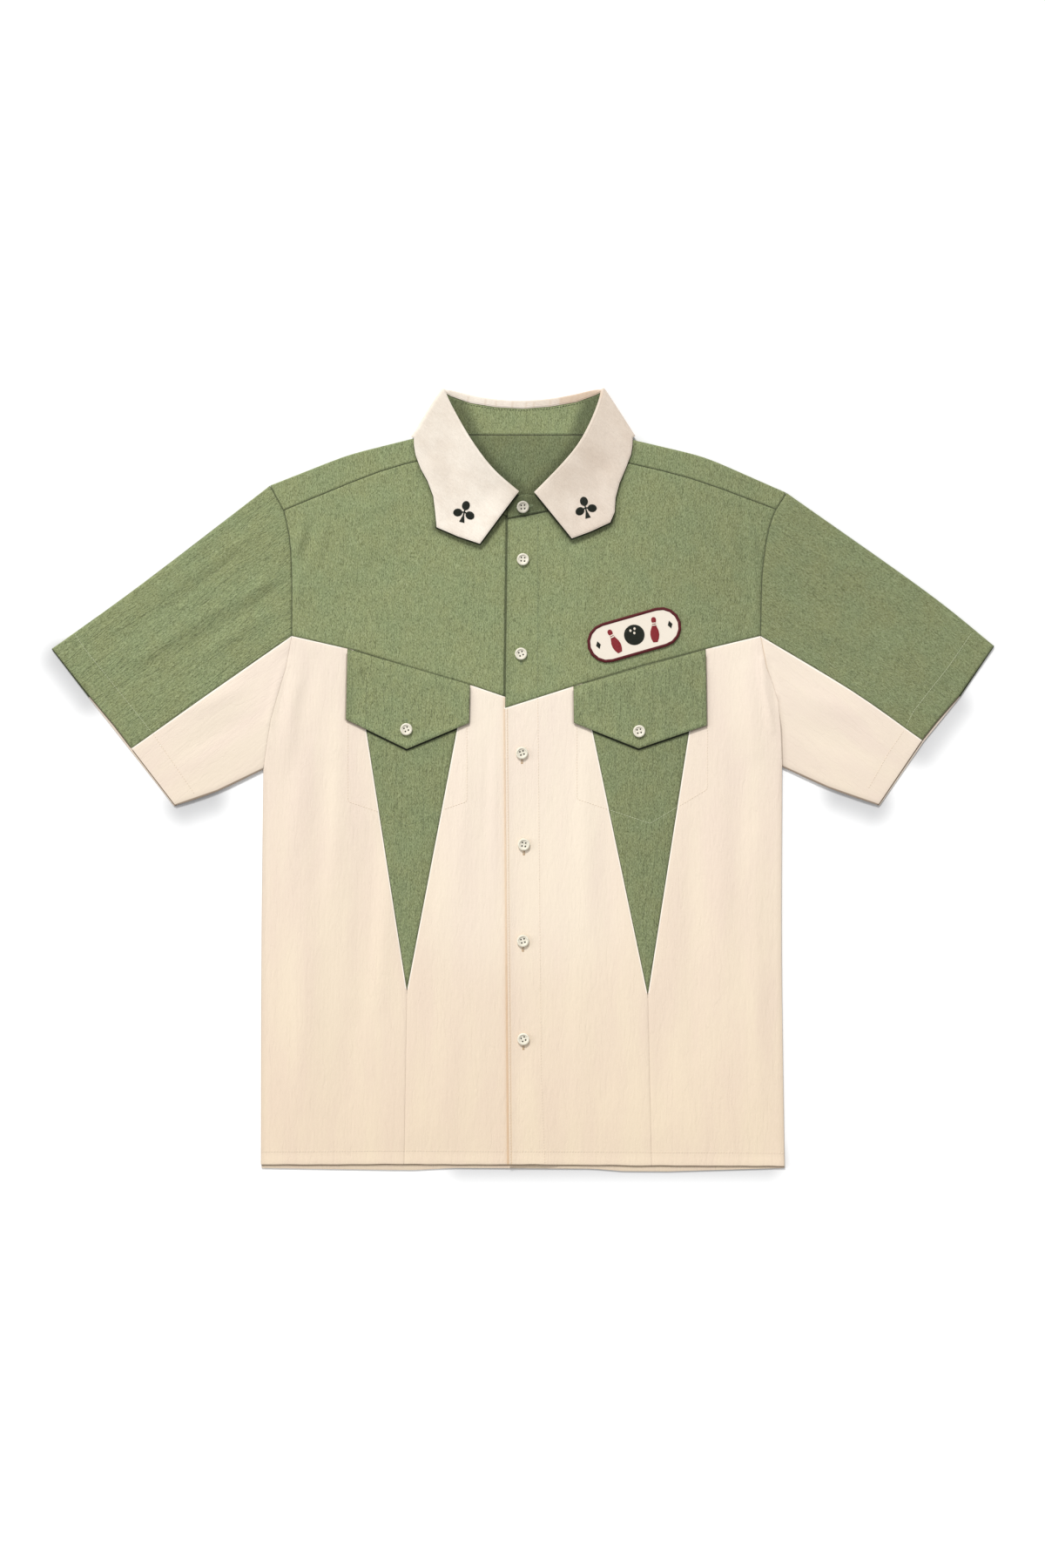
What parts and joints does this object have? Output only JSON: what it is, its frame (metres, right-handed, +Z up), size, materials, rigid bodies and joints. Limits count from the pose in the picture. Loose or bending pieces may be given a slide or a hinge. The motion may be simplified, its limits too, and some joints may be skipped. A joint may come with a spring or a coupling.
{
  "type": "bowling shirt",
  "caption": "Short-sleeved two-colour bowling shirt laid flat with its front up, buttoned, with a shirt collar, yoke, flapped chest pockets and long tapered inset panels.",
  "frame": {"origin": "middle of the laid-out shirt's footprint, on the surface that it lies on", "axes": "+X to the wearer's left sleeve, +Y to the collar, +Z up out of the front"},
  "size_m": [0.9751, 0.8098, 0.0112],
  "materials": {
    "sage_green": "slubbed matt weave",
    "cream": "smooth matt weave",
    "collar_cream": "smooth fused cloth",
    "patch_cream": "satin embroidery",
    "button_cream": "polished"
  },
  "bodies": {
    "root": {"back_body": "cream", "back_yoke": "sage_green", "front_yoke_right": "sage_green", "front_yoke_left": "sage_green", "side_front_right": "cream", "side_front_left": "cream", "centre_front_right": "cream", "centre_front_left": "cream", "wedge_right": "sage_green", "wedge_left": "sage_green", "pocket_bag_right": "cream", "pocket_bag_left": "cream", "pocket_flap_right": "sage_green", "pocket_flap_left": "sage_green", "sleeve_upper_right": "sage_green", "sleeve_upper_left": "sage_green", "sleeve_under_front_right": "cream", "sleeve_under_front_left": "cream", "sleeve_under_back_right": "cream", "sleeve_under_back_left": "cream", "collar_stand": "sage_green", "collar_leaf": "collar_cream", "chest_patch": "patch_cream", "button_1": "button_cream", "button_2": "button_cream", "button_3": "button_cream", "button_4": "button_cream", "button_5": "button_cream", "button_6": "button_cream", "button_7": "button_cream", "flap_button_right": "button_cream", "flap_button_left": "button_cream"}
  },
  "joints": []
}
